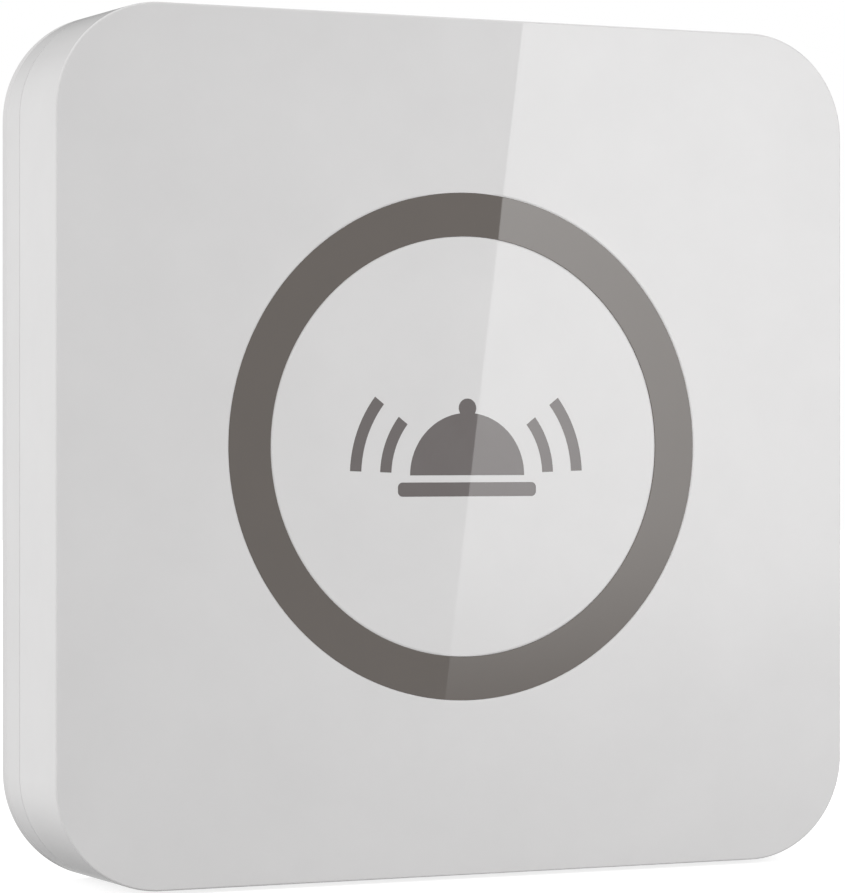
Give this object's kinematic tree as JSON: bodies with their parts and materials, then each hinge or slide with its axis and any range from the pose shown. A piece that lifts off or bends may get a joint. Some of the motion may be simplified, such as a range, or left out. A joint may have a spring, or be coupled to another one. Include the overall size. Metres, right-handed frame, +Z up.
{
  "type": "waiter call button",
  "caption": "Square upright call button with a round push cap set in a flush light ring, a drafted two-part case and a round battery lid in the back.",
  "frame": {"origin": "centre of the flat back face", "axes": "+X right seen from the front, +Y out of the back face (the front face looks towards -Y), +Z up as the button stands"},
  "size_m": [0.086, 0.0165, 0.086],
  "materials": {
    "gloss_white_abs": "high gloss",
    "smoked_light_guide": "high gloss, translucent smoked acrylic",
    "mark_grey": "gloss",
    "white_abs_textured": "fine spark-eroded texture",
    "black_plastic": "satin",
    "natural_abs": "satin",
    "spring_steel": "drawn wire",
    "nickel_plated": "bright nickel",
    "tinned_copper": "tinned",
    "screw_steel": "zinc plated",
    "circuit_laminate": "green solder mask",
    "led_resin": "phosphor resin",
    "chip_resin": "moulded epoxy",
    "ceramic_tan": "fired ceramic",
    "silicone_grey": "matt silicone"
  },
  "bodies": {
    "housing": {"front_cover": "gloss_white_abs", "light_ring": "smoked_light_guide", "return_springs": "spring_steel", "spring_carrier": "natural_abs", "switch_base": "black_plastic", "switch_cover": "nickel_plated", "switch_leads": "tinned_copper", "circuit_board": "circuit_laminate", "indicator_leds": "led_resin", "microcontroller": "chip_resin", "radio_chip": "chip_resin", "crystal": "nickel_plated", "chip_resistors": "chip_resin", "chip_capacitors": "ceramic_tan", "antenna": "tinned_copper", "battery_holder": "black_plastic", "coin_cell": "nickel_plated", "negative_contact": "nickel_plated", "positive_contact": "nickel_plated", "back_cover": "white_abs_textured", "housing_seal": "silicone_grey", "cover_screws": "screw_steel", "board_screws": "screw_steel"},
    "button": {"call_button": "gloss_white_abs", "call_symbol": "mark_grey"},
    "switch_plunger": {"switch_plunger": "black_plastic"},
    "battery_lid": {"battery_lid": "white_abs_textured", "lid_seal": "silicone_grey"}
  },
  "joints": [
    {"name": "button_press", "type": "slide", "parent": "housing", "child": "button", "axis": [0, 1, 0], "range_m": [0, 0.001], "stiffness_N_per_m": 1500, "springref_m": -0.0006, "deforming": ["return_springs"]},
    {"name": "switch_press", "type": "slide", "parent": "housing", "child": "switch_plunger", "axis": [0, 1, 0], "range_m": [0, 0.0003]},
    {"name": "lid_twist", "type": "hinge", "parent": "housing", "child": "battery_lid", "pos_m": [0, 0, -0.018], "axis": [0, 1, 0], "range_deg": [0, 60]}
  ],
  "couplings": [
    {"joint": "switch_press", "follows": "button_press", "ratio": 0.3}
  ]
}
